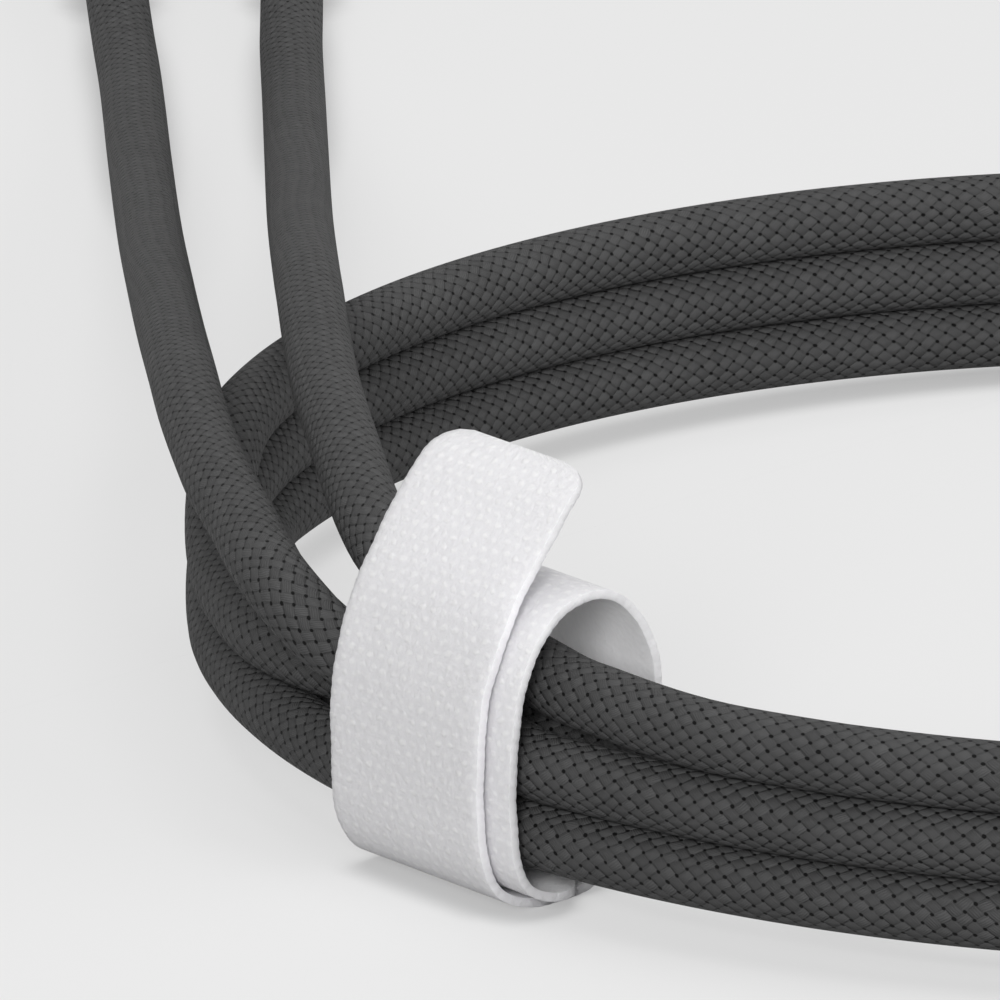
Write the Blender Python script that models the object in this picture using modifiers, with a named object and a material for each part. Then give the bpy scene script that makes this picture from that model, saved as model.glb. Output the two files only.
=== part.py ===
"""Charging cable: a round braided cable wound in a ring, held by a strap, with a plug on each end.

Metres, +Z up, the floor at Z = 0. The ring's axis is vertical and the strap sits at its front left.
"""

import math

import bmesh
import bpy
import numpy as np
from mathutils import Matrix, Vector

MM = 0.001

# Cable and ring
CABLE_DIAMETER = 3.8 * MM
TURN_CLEARANCE = 0.5 * MM
RING_RADIUS = 56.3 * MM
RING_CENTER = (6.808 * MM, -55.848 * MM)
LOOP_STEP = math.radians(15)
FINE_STEP = math.radians(5)
CABLE_JOIN_ANGLE = math.radians(226)
INNER_COLUMN = 1.04
SINK_START = math.radians(162)
SINK_END = math.radians(187)
SINK_CLEARANCE = 0.05
FOLD_RADIUS = 12.2 * MM
FOLD_ANGLE = math.radians(283)
FOLD_POINTS = 9
FACE_GAP = 0.3 * MM
FLOOR_GAP = 0.02 * MM

# Hook-and-loop strap
STRAP_ANGLE = math.radians(219.5)
STRAP_WIDTH = 12.2 * MM
STRAP_THICKNESS = 0.5 * MM
STRAP_LAYER_GAP = 0.25 * MM
STRAP_SLACK = 0.9 * MM
STRAP_DRIFT = 1.8 * MM
STRAP_SIDE_SHIFT = 1.7 * MM
STRAP_CORNER = 2.3 * MM
STRAP_STEP = 0.9 * MM
STRAP_COLUMNS = 6
HINGE_GAP = 0.5 * MM

# Plug, measured along its own X from the cable's end
PLUG_GAP = 0.12 * MM
RELIEF_LENGTH = 11.0 * MM
RELIEF_REAR_DIAMETER = 5.0 * MM
RELIEF_FRONT_DIAMETER = 5.6 * MM
RELIEF_GROOVES = 3
HOUSING_LENGTH = 20.0 * MM
HOUSING_WIDTH = 10.4 * MM
HOUSING_HEIGHT = 5.8 * MM
HOUSING_WALL = 1.0 * MM
HOUSING_ROUND = 2.2 * MM
SHELL_LENGTH = 10.2 * MM
SHELL_EXPOSED = 6.65 * MM
SHELL_WIDTH = 8.25 * MM
SHELL_HEIGHT = 2.4 * MM
SHELL_WALL = 0.28 * MM
BOARD_THICKNESS = 0.4 * MM
BOARD_SIDE_GAP = 0.5 * MM
SHIELD_WALL = 0.25 * MM
SHIELD_GAP = 0.22 * MM
LATCH_TO_BOARD = 0.15 * MM
CONTACT_THICKNESS = 0.16 * MM
CONTACT_PITCH = 0.5 * MM
CONTACT_WIDTH = 0.25 * MM
CONTACTS_PER_ROW = 12
POWER_WIRE_DIAMETER = 0.72 * MM
DATA_WIRE_DIAMETER = 0.6 * MM
WIRE_RING_RADIUS = 0.7 * MM
NEST_DIAMETER = 4.5 * MM
JACKET_WALL = 0.45 * MM

# Sizes that follow from the ones above
TUBE_DIAMETER = CABLE_DIAMETER - TURN_CLEARANCE
TUBE_RADIUS = TUBE_DIAMETER / 2
PITCH = CABLE_DIAMETER
STRAP_LIFT = 2 * STRAP_THICKNESS + STRAP_LAYER_GAP + FACE_GAP + STRAP_SLACK
PLUG_HEIGHT = HOUSING_HEIGHT / 2
HOUSING_REAR = RELIEF_LENGTH + FACE_GAP
HOUSING_FRONT = HOUSING_REAR + HOUSING_LENGTH
SHELL_REAR = HOUSING_FRONT + SHELL_EXPOSED - SHELL_LENGTH
SHELL_FRONT = HOUSING_FRONT + SHELL_EXPOSED
HALL_WIDTH = HOUSING_WIDTH - 2.2 * HOUSING_WALL
HALL_HEIGHT = HOUSING_HEIGHT - 2.2 * HOUSING_WALL
SHIELD_SIDE = HALL_WIDTH / 2 - SHIELD_GAP
SHIELD_TOP = HALL_HEIGHT / 2 - SHIELD_GAP
LATCH_REAR = SHELL_REAR - 1.0 * MM
BOARD_FRONT = LATCH_REAR - LATCH_TO_BOARD
BOARD_REAR = HOUSING_REAR + 5.3 * MM
BOARD_SIDE = SHIELD_SIDE - SHIELD_WALL - BOARD_SIDE_GAP
BOARD_TOP = BOARD_THICKNESS / 2
JACKET_FRONT = HOUSING_REAR + 3.2 * MM

# The free ends lie on the ring, then come down to the floor behind it. These points are
# chosen by hand, in millimetres from the ring's centre, from the strap to the plug.
END_A_ROUTE = (
    (-43.78, -34.99, 9.1),
    (-47.11, -31.29, 10.0),
    (-50.18, -28.94, 11.4),
    (-51.96, -26.64, 12.6),
    (-53.54, -22.7, 13.5),
    (-54.91, -16.34, 14.1),
    (-55.99, -11.74, 14.5),
    (-56.87, -5.89, 14.7),
    (-57.65, 0.0, 15.0),
    (-58.33, 8.0, 14.8),
    (-59.11, 20.3, 13.4),
    (-59.98, 38.9, 10.5),
    (-60.95, 62.5, 6.6),
    (-61.95, 89.8, 3.0),
    (-62.68, 108.2, 1.7),
)
END_B_ROUTE = (
    (-41.69, -33.38, 12.7),
    (-43.97, -29.42, 13.5),
    (-46.45, -24.96, 14.3),
    (-47.92, -19.47, 15.2),
    (-49.18, -10.0, 15.9),
    (-50.34, 1.2, 16.1),
    (-51.02, 11.2, 15.9),
    (-51.49, 20.0, 15.6),
    (-51.78, 26.1, 14.9),
    (-52.16, 39.9, 12.7),
    (-52.38, 58.8, 9.0),
    (-52.79, 88.7, 4.1),
    (-53.05, 106.0, 1.9),
)
PLUG_PLACES = {"a": ((-64.2, 131.5), 94), "b": ((-53.2, 131.5), 90)}

# The strap's path round the bundle, seen along the cable: millimetres outwards from the
# ring's mean radius and up from the floor. The first layer starts under the bundle, goes
# up its outer side, over and round it, and up the outer side again as the second layer.
STRAP_LOOP_ROUTE = (
    (-3.0, 1.0),
    (-1.8, 1.0),
    (-0.7, 1.04),
    (0.35, 1.3),
    (1.27, 1.85),
    (1.95, 2.85),
    (2.28, 4.15),
    (2.4, 5.9),
    (2.42, 7.9),
    (2.32, 9.9),
    (2.0, 11.8),
    (1.4, 13.8),
    (0.3, 15.6),
    (-1.4, 16.8),
    (-3.3, 17.2),
    (-5.0, 16.8),
    (-6.7, 15.4),
    (-7.9, 13.4),
    (-8.5, 11.1),
    (-8.5, 8.6),
    (-8.0, 6.0),
    (-7.1, 3.6),
    (-5.8, 1.6),
    (-4.4, 0.56),
    (-3.0, 0.27),
    (-1.8, 0.26),
    (-0.6, 0.3),
    (0.7, 0.62),
    (1.83, 1.3),
    (2.61, 2.46),
    (3.04, 3.96),
    (3.17, 5.9),
    (3.19, 7.9),
    (3.1, 9.9),
    (2.8, 11.9),
    (2.2, 13.8),
)
STRAP_TAIL_ROUTE = (
    (2.2, 13.8),
    (0.95, 16.4),
    (-0.65, 18.8),
    (-2.0, 20.5),
    (-3.4, 22.1),
    (-4.9, 22.8),
)


def ease(value, start, end):
    """Smooth step from 0 at start to 1 at end."""
    t = min(max((value - start) / (end - start), 0.0), 1.0)
    return t * t * (3 - 2 * t)


def radial(angle):
    return Vector((math.cos(angle), math.sin(angle), 0))


def tangent(angle):
    return Vector((-math.sin(angle), math.cos(angle), 0))


def ring_center():
    return Vector((RING_CENTER[0], RING_CENTER[1], 0))


def lift(angle):
    """The ring rests on the strap at one side and on the floor at the other."""
    return STRAP_LIFT * (1 + math.cos(angle - STRAP_ANGLE)) / 2


def on_ring(angle, inwards, height):
    """A point on the cable's centre line: inwards from the mean radius, above the lowest turn."""
    place = ring_center() + radial(angle) * (RING_RADIUS - inwards)
    place.z = TUBE_RADIUS + FLOOR_GAP + lift(angle) + height
    return place


def smooth(points, step):
    """Evenly spaced points on a Catmull-Rom curve through the given points."""
    knots = [np.array(p, float) for p in points]
    knots = [2 * knots[0] - knots[1]] + knots + [2 * knots[-1] - knots[-2]]
    fine = []
    for before, start, end, after in zip(knots, knots[1:], knots[2:], knots[3:]):
        span = np.linalg.norm(end - start)
        leave = (end - before) * span / (span + np.linalg.norm(start - before))
        arrive = (after - start) * span / (span + np.linalg.norm(after - end))
        for t in np.linspace(0, 1, 24, endpoint=False):
            fine.append(
                (2 * t**3 - 3 * t**2 + 1) * start
                + (t**3 - 2 * t**2 + t) * leave
                + (3 * t**2 - 2 * t**3) * end
                + (t**3 - t**2) * arrive
            )
    fine.append(knots[-2])
    fine = np.array(fine)
    along = np.concatenate([[0], np.cumsum(np.linalg.norm(np.diff(fine, axis=0), axis=1))])
    count = max(2, round(along[-1] / step))
    wanted = np.linspace(0, along[-1], count + 1)
    return np.stack([np.interp(wanted, along, fine[:, k]) for k in range(fine.shape[1])], axis=1)


def sink(angle):
    """Each turn sinks by one level at the ring's left side, as an angle of a quarter circle."""
    return math.pi / 2 * ease(angle % (2 * math.pi), SINK_START, SINK_END)


def first_turn(angle):
    """From the first free end: the middle of the stack, until it sinks to the bottom."""
    sunk = 0 if angle < 2 * math.pi else sink(angle)
    return on_ring(angle, 0, PITCH * math.cos(sunk))


def second_turn(angle):
    """The bottom of the stack, which makes room for the turn above it by moving inwards."""
    sunk = 0 if angle < 2 * math.pi else sink(angle)
    return on_ring(angle, INNER_COLUMN * PITCH * math.sin(sunk), 0)


def fold():
    """The half circle in which the cable turns back, flat on the floor inside the ring."""
    points = []
    for turn in np.linspace(math.pi, 0, FOLD_POINTS):
        inwards = INNER_COLUMN * PITCH + FOLD_RADIUS * (1 + math.cos(turn))
        place = on_ring(FOLD_ANGLE, inwards, 0)
        points.append(place + tangent(FOLD_ANGLE) * FOLD_RADIUS * math.sin(turn))
    return points


def inner_leg(angle):
    """After the fold the cable comes back to the ring and lies down on its own inner turn."""
    inwards = INNER_COLUMN * PITCH + 2 * FOLD_RADIUS * ease(angle, math.radians(230), FOLD_ANGLE)
    return on_ring(angle, inwards, PITCH * (1 - ease(angle, math.radians(238), math.radians(258))))


def third_turn(angle):
    """Run backwards, it moves out over the first turn and climbs to the top of the stack."""
    inwards = INNER_COLUMN * ease(angle, math.radians(196), math.radians(216))
    sunk = sink(angle) if 0 < angle < 2 * math.pi else 0
    rise = math.cos(sunk) + SINK_CLEARANCE * math.sin(2 * sunk)
    return on_ring(angle, PITCH * inwards, PITCH * (1 + rise))


def top_end(angle):
    """The top turn near the strap, where it sinks into the groove between the two columns."""
    inwards = 0.42 * ease(angle, math.radians(240), math.radians(224))
    return on_ring(angle, PITCH * inwards, PITCH * (2.01 + 0.2 * inwards))


def grid_angles(start, end):
    """Angles on one shared grid, finer at the strap, so that stacked turns bend at the same places."""
    angles = []
    step = 5 if start < end else -5
    first = round(math.degrees(start))
    last = round(math.degrees(end))
    for degrees in range(first, last + step // abs(step), 1 if step > 0 else -1):
        local = degrees % 360
        at_strap = 160 <= local <= 240 and local % math.degrees(FINE_STEP) < 0.01
        if at_strap or local % math.degrees(LOOP_STEP) < 0.01 or degrees in (first, last):
            angles.append(math.radians(degrees))
    return angles


def coil_points():
    """The whole wound cable as one line, from the first free end's joint to the second's."""
    full = 2 * math.pi
    strap_out = math.radians(230)
    points = [first_turn(angle) for angle in grid_angles(CABLE_JOIN_ANGLE, CABLE_JOIN_ANGLE + full)]
    second = grid_angles(CABLE_JOIN_ANGLE, CABLE_JOIN_ANGLE + full)
    points += [second_turn(angle) for angle in second[1:]]
    lowest = INNER_COLUMN * PITCH
    points += [on_ring(angle, lowest, 0) for angle in grid_angles(CABLE_JOIN_ANGLE, FOLD_ANGLE)[1:-1]]
    points += fold()
    points += [inner_leg(angle) for angle in np.linspace(FOLD_ANGLE, strap_out, 8)[1:-1]]
    points += [third_turn(angle) for angle in grid_angles(strap_out, math.radians(-105))]
    points += [top_end(angle) for angle in grid_angles(math.radians(240), CABLE_JOIN_ANGLE)]
    return points


def joint_end(points, last):
    """A free stretch's first points: a straight cable diameter, face to face with the coil."""
    end, inner = (points[-1], points[-2]) if last else (points[0], points[1])
    out = (end - inner).normalized()
    return [end + out * FACE_GAP, end + out * (FACE_GAP + TUBE_DIAMETER)]


def plug_matrix(name):
    """The frame of one plug: its X axis runs from the cable's end to the plug's mouth."""
    (across, along), heading = PLUG_PLACES[name]
    place = ring_center() + Vector((across * MM, along * MM, PLUG_HEIGHT))
    return Matrix.Translation(place) @ Matrix.Rotation(math.radians(heading), 4, "Z")


def free_points(start, route, plug):
    """One free end, from the strap over the ring, along the floor and up into its plug."""
    ring = ring_center()
    knots = [start[1]] + [ring + Vector(point) * MM for point in route]
    frame = plug_matrix(plug)
    for back, drop in ((14.0, 1.0), (9.0, 0.55), (5.5, 0.12), (3.7, 0.0)):
        low = drop * (PLUG_HEIGHT - TUBE_RADIUS)
        knots.append(frame @ Vector((-back * MM, 0, -low)))
    curve = [Vector(point) for point in smooth(knots, 4.6 * MM)]
    for point in curve:
        point.z = max(point.z, TUBE_RADIUS + FLOOR_GAP)
    return [start[0]] + curve + [frame @ Vector((-FACE_GAP, 0, 0))]


def least_gap(points, diameter):
    """Least free space between a tube's stretches that aren't next to each other."""
    line = smooth_line(points, 1.5 * MM)
    along = np.concatenate([[0], np.cumsum(np.linalg.norm(np.diff(line, axis=0), axis=1))])
    apart = np.linalg.norm(line[:, None, :] - line[None, :, :], axis=2)
    apart[np.abs(along[:, None] - along[None, :]) < 5 * diameter] = 1.0
    return apart.min() - diameter


def smooth_line(points, step):
    """The straight-sided line through the points, cut into short steps."""
    pieces = []
    for start, end in zip(points, points[1:]):
        count = max(1, round((end - start).length / step))
        pieces += [start.lerp(end, index / count) for index in range(count)]
    return np.array([tuple(point) for point in pieces + [points[-1]]])


def length_of(points):
    return sum((end - start).length for start, end in zip(points, points[1:]))


# Materials and collections


def make_material(name, color, roughness, metallic=0.0):
    material = bpy.data.materials.new(name)
    material.use_nodes = True
    shader = material.node_tree.nodes["Principled BSDF"]
    shader.inputs["Base Color"].default_value = (*color, 1.0)
    shader.inputs["Roughness"].default_value = roughness
    shader.inputs["Metallic"].default_value = metallic
    material.diffuse_color = (*color, 1.0)
    return material


def make_collection(name):
    collection = bpy.data.collections.new(name)
    bpy.context.scene.collection.children.link(collection)
    return collection


def add_object(name, data, material, parent=None):
    item = bpy.data.objects.new(name, data)
    PARTS.objects.link(item)
    if material is not None:
        data.materials.append(material)
    item.parent = parent
    return item


def new_mesh(name, form):
    mesh = bpy.data.meshes.new(name)
    form.to_mesh(mesh)
    form.free()
    return mesh


# Shapes


def tube(name, points, diameter, sides, material, parent=None):
    """A round tube with capped ends along a line of points."""
    curve = bpy.data.curves.new(name, "CURVE")
    curve.dimensions = "3D"
    curve.bevel_depth = diameter / 2
    curve.bevel_resolution = sides
    curve.use_fill_caps = True
    line = curve.splines.new("POLY")
    line.points.add(len(points) - 1)
    for place, point in zip(line.points, points):
        place.co = (*point, 1.0)
    return add_object(name, curve, material, parent)


def lathe(name, profile, segments, material, parent, along=0.0):
    """A ring turned about the plug's X axis from (along, radius) points, given in order round it."""
    form = bmesh.new()
    corners = [form.verts.new((x, radius, 0)) for x, radius in profile]
    edges = [form.edges.new((a, b)) for a, b in zip(corners, corners[1:] + corners[:1])]
    bmesh.ops.spin(
        form,
        geom=corners + edges,
        cent=(0, 0, 0),
        axis=(1, 0, 0),
        angle=2 * math.pi,
        steps=segments,
        use_merge=True,
    )
    bmesh.ops.remove_doubles(form, verts=form.verts, dist=1e-6)
    bmesh.ops.recalc_face_normals(form, faces=form.faces)
    item = add_object(name, new_mesh(name, form), material, parent)
    item.location.x = along
    return item


def stadium(width, height, steps=8):
    """Outline with half-round ends."""
    radius = height / 2
    points = []
    for center, start in ((width / 2 - radius, -math.pi / 2), (radius - width / 2, math.pi / 2)):
        for index in range(steps + 1):
            turn = start + math.pi * index / steps
            points.append((center + radius * math.cos(turn), radius * math.sin(turn)))
    return points


def circle(diameter, steps=24):
    """Round outline."""
    turns = [2 * math.pi * index / steps for index in range(steps)]
    return [(diameter / 2 * math.cos(turn), diameter / 2 * math.sin(turn)) for turn in turns]


def rounded_box(width, height, radius, steps=5):
    """Outline with round corners."""
    points = []
    for quarter, (side, up) in enumerate(((1, 1), (-1, 1), (-1, -1), (1, -1))):
        for index in range(steps + 1):
            turn = math.pi / 2 * (quarter + index / steps)
            across = side * (width / 2 - radius) + radius * math.cos(turn)
            points.append((across, up * (height / 2 - radius) + radius * math.sin(turn)))
    return points


def outline_mesh(name, outlines, depth):
    """A flat plate from closed outlines, centred on its own plane; inner outlines become holes."""
    curve = bpy.data.curves.new(name, "CURVE")
    curve.dimensions = "2D"
    curve.fill_mode = "BOTH"
    curve.extrude = depth / 2
    for outline in outlines:
        line = curve.splines.new("POLY")
        line.use_cyclic_u = True
        line.points.add(len(outline) - 1)
        for place, (across, up) in zip(line.points, outline):
            place.co = (across, up, 0, 1)
    holder = bpy.data.objects.new(name, curve)
    bpy.context.scene.collection.objects.link(holder)
    bpy.context.view_layer.update()
    mesh = bpy.data.meshes.new_from_object(holder)
    bpy.data.objects.remove(holder)
    bpy.data.curves.remove(curve)
    mesh.name = name
    form = bmesh.new()
    form.from_mesh(mesh)
    bmesh.ops.remove_doubles(form, verts=form.verts, dist=1e-6)
    bmesh.ops.recalc_face_normals(form, faces=form.faces)
    form.to_mesh(mesh)
    form.free()
    return mesh


def bar_along(name, outlines, start, end, material, parent):
    """A shape whose outline lies across the plug, drawn out along the plug's X axis."""
    item = add_object(name, outline_mesh(name, outlines, end - start), material, parent)
    item.rotation_euler = (math.pi / 2, 0, math.pi / 2)
    item.location.x = (start + end) / 2
    return item


def plate(name, outline, low, high, material, parent):
    """A flat piece seen from above, between two heights."""
    item = add_object(name, outline_mesh(name, [outline], high - low), material, parent)
    item.location.z = (low + high) / 2
    return item


def box_outline(x0, x1, y0, y1):
    return [(x0, y0), (x1, y0), (x1, y1), (x0, y1)]


def cut(body, tool):
    """Take the tool's shape out of the body."""
    PARTS.objects.unlink(tool)
    CUTTERS.objects.link(tool)
    tool.hide_render = True
    tool.display_type = "WIRE"
    modifier = body.modifiers.new("cut " + tool.name, "BOOLEAN")
    modifier.operation = "DIFFERENCE"
    modifier.solver = "EXACT"
    modifier.object = tool


# Strap


def strap_frame():
    """Outwards is X, along the cable is Y and up is Z, on the floor under the ring's line."""
    matrix = Matrix.Translation(ring_center() + radial(STRAP_ANGLE) * RING_RADIUS)
    return matrix @ Matrix.Rotation(STRAP_ANGLE, 4, "Z")


def strap_sheet(name, line, start, whole, corner, origin, material):
    """One piece of the strap: a grid bent along its line, then thickened."""
    rows = len(line)
    form = bmesh.new()
    bmesh.ops.create_grid(form, x_segments=rows - 1, y_segments=STRAP_COLUMNS, size=0.5)
    along = np.concatenate([[0], np.cumsum(np.linalg.norm(np.diff(line, axis=0), axis=1))])
    for vertex in form.verts:
        row = round((vertex.co.x + 0.5) * (rows - 1))
        to_end = along[-1] - along[row]
        half = STRAP_WIDTH / 2
        if corner and to_end < STRAP_CORNER:
            half -= STRAP_CORNER - math.sqrt(STRAP_CORNER**2 - (STRAP_CORNER - to_end) ** 2)
        drift = STRAP_SIDE_SHIFT - STRAP_DRIFT * ease((start + along[row]) / whole, 0.2, 0.62)
        across = drift + vertex.co.y * 2 * half
        vertex.co = Vector((line[row][0], across, line[row][1])) - origin
    bmesh.ops.recalc_face_normals(form, faces=form.faces)
    item = add_object(name, new_mesh(name, form), material)
    item.matrix_world = strap_frame() @ Matrix.Translation(origin)
    modifier = item.modifiers.new("thickness", "SOLIDIFY")
    modifier.thickness = STRAP_THICKNESS
    modifier.offset = 0
    modifier.use_even_offset = True
    return item


def strap_lines():
    """The loop's and the tail's lines, with the gap of the hinge between them."""
    loop = smooth([(u * MM, v * MM) for u, v in STRAP_LOOP_ROUTE], STRAP_STEP)
    tail = smooth([(u * MM, v * MM) for u, v in STRAP_TAIL_ROUTE], STRAP_STEP)
    hinge = Vector((loop[-1][0], 0, loop[-1][1]))
    back = loop[-1] - loop[-2]
    ahead = tail[1] - tail[0]
    loop[-1] = loop[-1] - back / np.linalg.norm(back) * HINGE_GAP / 2
    tail[0] = tail[0] + ahead / np.linalg.norm(ahead) * HINGE_GAP / 2
    return loop, tail, hinge


def make_strap(material):
    loop, tail, hinge = strap_lines()
    loop_length = np.linalg.norm(np.diff(loop, axis=0), axis=1).sum()
    tail_length = np.linalg.norm(np.diff(tail, axis=0), axis=1).sum()
    whole = loop_length + tail_length
    strap_sheet("strap_loop", loop, 0, whole, False, Vector(), material)
    strap_sheet("strap_tail", tail, loop_length, whole, True, hinge, material)
    print("strap length mm", round(whole / MM, 1))
    print("strap hinge mm", [round(value / MM, 3) for value in strap_frame() @ hinge])
    print("strap hinge axis", [round(value, 5) for value in tangent(STRAP_ANGLE)])


# Plug


def relief_profile():
    """Outer side with shallow grooves, then the bore."""
    front = RELIEF_LENGTH
    bore = TUBE_RADIUS + PLUG_GAP
    rear = RELIEF_REAR_DIAMETER / 2
    slope = (RELIEF_FRONT_DIAMETER / 2 - rear) / front
    points = [(0, bore), (0, rear - 0.4 * MM), (0.12 * MM, rear - 0.12 * MM), (0.4 * MM, rear)]
    width = 0.8 * MM
    deep = 0.45 * MM
    for index in range(RELIEF_GROOVES):
        start = (2.2 + 2.1 * index) * MM
        for along, low in ((start, 0), (start + 0.15 * MM, deep), (start + width, deep)):
            points.append((along, rear + slope * along - low))
        points.append((start + width + 0.15 * MM, rear + slope * (start + width)))
    points += [(front, RELIEF_FRONT_DIAMETER / 2), (front, bore)]
    return points


def ring_profile(start, end, inner, outer):
    return [(start, inner), (start, outer), (end, outer), (end, inner)]


def comb_outline():
    """One row of contacts held by a bar; the beams point to the plug's mouth."""
    rear = SHELL_REAR - 1.1 * MM
    bar = SHELL_REAR - 0.1 * MM
    tip = SHELL_FRONT - 1.45 * MM
    half = (CONTACTS_PER_ROW / 2) * CONTACT_PITCH + 0.1 * MM
    points = [(rear, -half), (bar, -half)]
    for index in range(CONTACTS_PER_ROW):
        middle = (index - (CONTACTS_PER_ROW - 1) / 2) * CONTACT_PITCH
        low = middle - CONTACT_WIDTH / 2
        high = middle + CONTACT_WIDTH / 2
        points += [(bar, low), (tip, low), (tip, high), (bar, high)]
    return points + [(bar, half), (rear, half)]


def latch_outline():
    """A flat fork: two side arms joined behind the contacts."""
    rear = LATCH_REAR
    front = SHELL_FRONT - 2.0 * MM
    outer = 3.28 * MM
    inner = 2.98 * MM
    neck = rear + 0.6 * MM
    points = [(rear, -outer), (front, -outer), (front, -inner), (neck, -inner)]
    return points + [(neck, inner), (front, inner), (front, outer), (rear, outer)]


def can_outline(side):
    """Sheet-metal cover seen along the plug: a flat top with two legs."""
    outer = SHIELD_SIDE
    inner = SHIELD_SIDE - SHIELD_WALL
    top = SHIELD_TOP
    under = SHIELD_TOP - SHIELD_WALL
    foot = 0.08 * MM
    shape = [(outer, foot), (outer, top), (-outer, top), (-outer, foot)]
    shape += [(-inner, foot), (-inner, under), (inner, under), (inner, foot)]
    return [(across, side * up) for across, up in shape]


def wire_points(turn, side, pad):
    """From the cable's end straight on, then out to a pad on the board."""
    radius = WIRE_RING_RADIUS
    start = (radius * math.cos(turn), radius * math.sin(turn))
    pad_z = side * (BOARD_TOP + PLUG_GAP + POWER_WIRE_DIAMETER / 2 + 0.02 * MM)
    points = [Vector((0.5 * MM, *start))]
    for beyond, share in ((-0.1, 0), (0.4, 0.1), (0.9, 0.5), (1.4, 0.9), (1.9, 1), (3.7, 1)):
        across = start[0] + (pad - start[0]) * share
        up = start[1] + (pad_z - start[1]) * share
        points.append(Vector((JACKET_FRONT + beyond * MM, across, up)))
    return points


def make_housing(prefix, parent, material):
    rear = HOUSING_REAR
    front = HOUSING_FRONT
    outline = rounded_box(HOUSING_WIDTH, HOUSING_HEIGHT, HOUSING_ROUND)
    body = bar_along(prefix + "housing", [outline], rear, front, material, parent)
    bevel = body.modifiers.new("edges", "BEVEL")
    bevel.width = 0.45 * MM
    bevel.segments = 2
    bevel.limit_method = "ANGLE"
    bevel.angle_limit = math.radians(50)
    hall = rounded_box(HALL_WIDTH, HALL_HEIGHT, 0.3 * MM, 2)
    mouth = stadium(SHELL_WIDTH + 2 * PLUG_GAP, SHELL_HEIGHT + 2 * PLUG_GAP)
    hole = circle(TUBE_DIAMETER + 2 * PLUG_GAP)
    nest = circle(NEST_DIAMETER)
    tools = (
        ("hall", hall, JACKET_FRONT + 1.0 * MM, front - HOUSING_WALL),
        ("mouth", mouth, SHELL_REAR - 2 * PLUG_GAP, front + HOUSING_WALL),
        ("hole", hole, rear - HOUSING_WALL, rear + 2 * HOUSING_WALL),
        ("nest", nest, rear + HOUSING_WALL, JACKET_FRONT + 1.4 * MM),
    )
    for name, shape, start, end in tools:
        cut(body, bar_along(prefix + name + "_cut", [shape], start, end, None, parent))


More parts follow.
